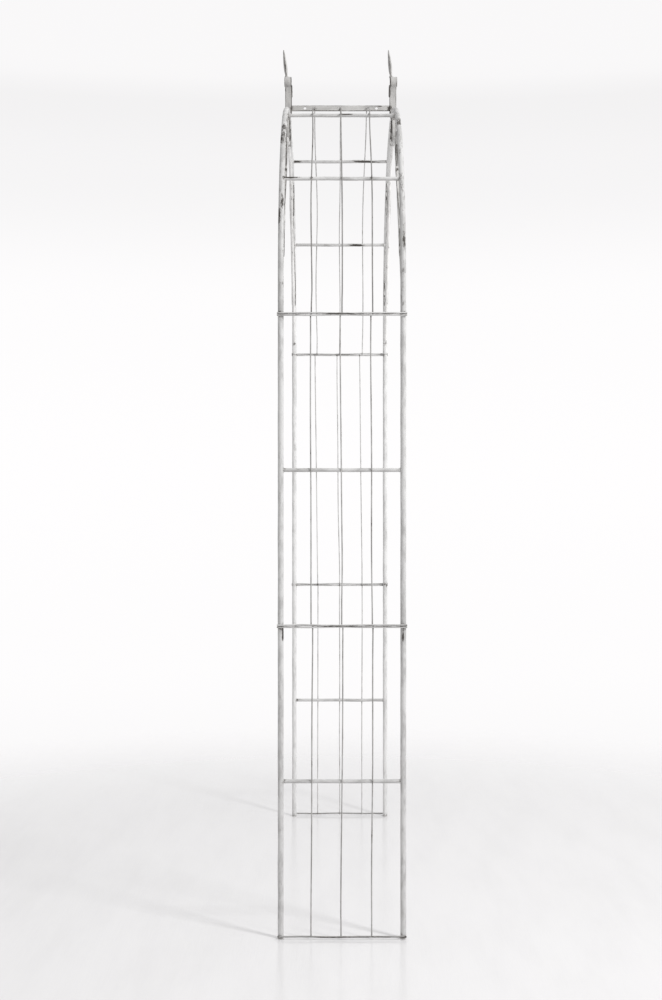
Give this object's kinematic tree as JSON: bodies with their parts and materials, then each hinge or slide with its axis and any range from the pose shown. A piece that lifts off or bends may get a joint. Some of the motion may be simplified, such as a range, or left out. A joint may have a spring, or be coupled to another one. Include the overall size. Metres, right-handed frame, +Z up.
{
  "type": "metal trellis arch",
  "caption": "Walk-through garden arch of painted steel tube with rung-and-rod trellis sides, a rounded top, an inner arch with scrolls and leaf finials.",
  "frame": {"origin": "on the ground, midway between the four legs", "axes": "+X across the path from the left panel to the right panel, +Y from the front face to the back face, +Z up"},
  "size_m": [1.224, 0.335, 2.471],
  "materials": {
    "painted_tube": "rubbed antique off-white paint, satin",
    "painted_rung": "rubbed antique off-white paint, satin",
    "painted_rod": "rubbed antique off-white paint, satin",
    "painted_inner_arch": "rubbed antique off-white paint, satin",
    "painted_scroll": "rubbed antique off-white paint with dark metal showing",
    "painted_flat": "rubbed antique off-white paint, satin",
    "painted_finial": "rubbed antique off-white paint with dark metal showing",
    "bare_steel": "bare tube, hidden inside the joints",
    "foot_plug": "matte pale moulded plastic"
  },
  "bodies": {
    "root": {"apex_spigots": "bare_steel", "back_spear": "painted_finial", "foot_plugs": "foot_plug", "front_spear": "painted_finial", "left_apex_flat": "painted_flat", "left_arch_back_rail": "painted_tube", "left_arch_first_rung": "painted_rung", "left_arch_front_rail": "painted_tube", "left_arch_rods": "painted_rod", "left_arch_second_rung": "painted_rung", "left_arch_spring_rung": "painted_rung", "left_back_centre_volute": "painted_scroll", "left_back_haunch_scroll": "painted_scroll", "left_back_inner_arch": "painted_inner_arch", "left_back_petal": "painted_finial", "left_front_centre_volute": "painted_scroll", "left_front_haunch_scroll": "painted_scroll", "left_front_inner_arch": "painted_inner_arch", "left_front_petal": "painted_finial", "left_lower_back_leg": "painted_tube", "left_lower_bottom_rung": "painted_rung", "left_lower_front_leg": "painted_tube", "left_lower_middle_rung": "painted_rung", "left_lower_rods": "painted_rod", "left_lower_top_rung": "painted_rung", "left_upper_back_leg": "painted_tube", "left_upper_bottom_rung": "painted_rung", "left_upper_front_leg": "painted_tube", "left_upper_middle_rung": "painted_rung", "left_upper_rods": "painted_rod", "left_upper_top_rung": "painted_rung", "leg_spigots": "bare_steel", "right_apex_flat": "painted_flat", "right_arch_back_rail": "painted_tube", "right_arch_first_rung": "painted_rung", "right_arch_front_rail": "painted_tube", "right_arch_rods": "painted_rod", "right_arch_second_rung": "painted_rung", "right_arch_spring_rung": "painted_rung", "right_back_centre_volute": "painted_scroll", "right_back_haunch_scroll": "painted_scroll", "right_back_inner_arch": "painted_inner_arch", "right_back_petal": "painted_finial", "right_front_centre_volute": "painted_scroll", "right_front_haunch_scroll": "painted_scroll", "right_front_inner_arch": "painted_inner_arch", "right_front_petal": "painted_finial", "right_lower_back_leg": "painted_tube", "right_lower_bottom_rung": "painted_rung", "right_lower_front_leg": "painted_tube", "right_lower_middle_rung": "painted_rung", "right_lower_rods": "painted_rod", "right_lower_top_rung": "painted_rung", "right_upper_back_leg": "painted_tube", "right_upper_bottom_rung": "painted_rung", "right_upper_front_leg": "painted_tube", "right_upper_middle_rung": "painted_rung", "right_upper_rods": "painted_rod", "right_upper_top_rung": "painted_rung"}
  },
  "joints": []
}
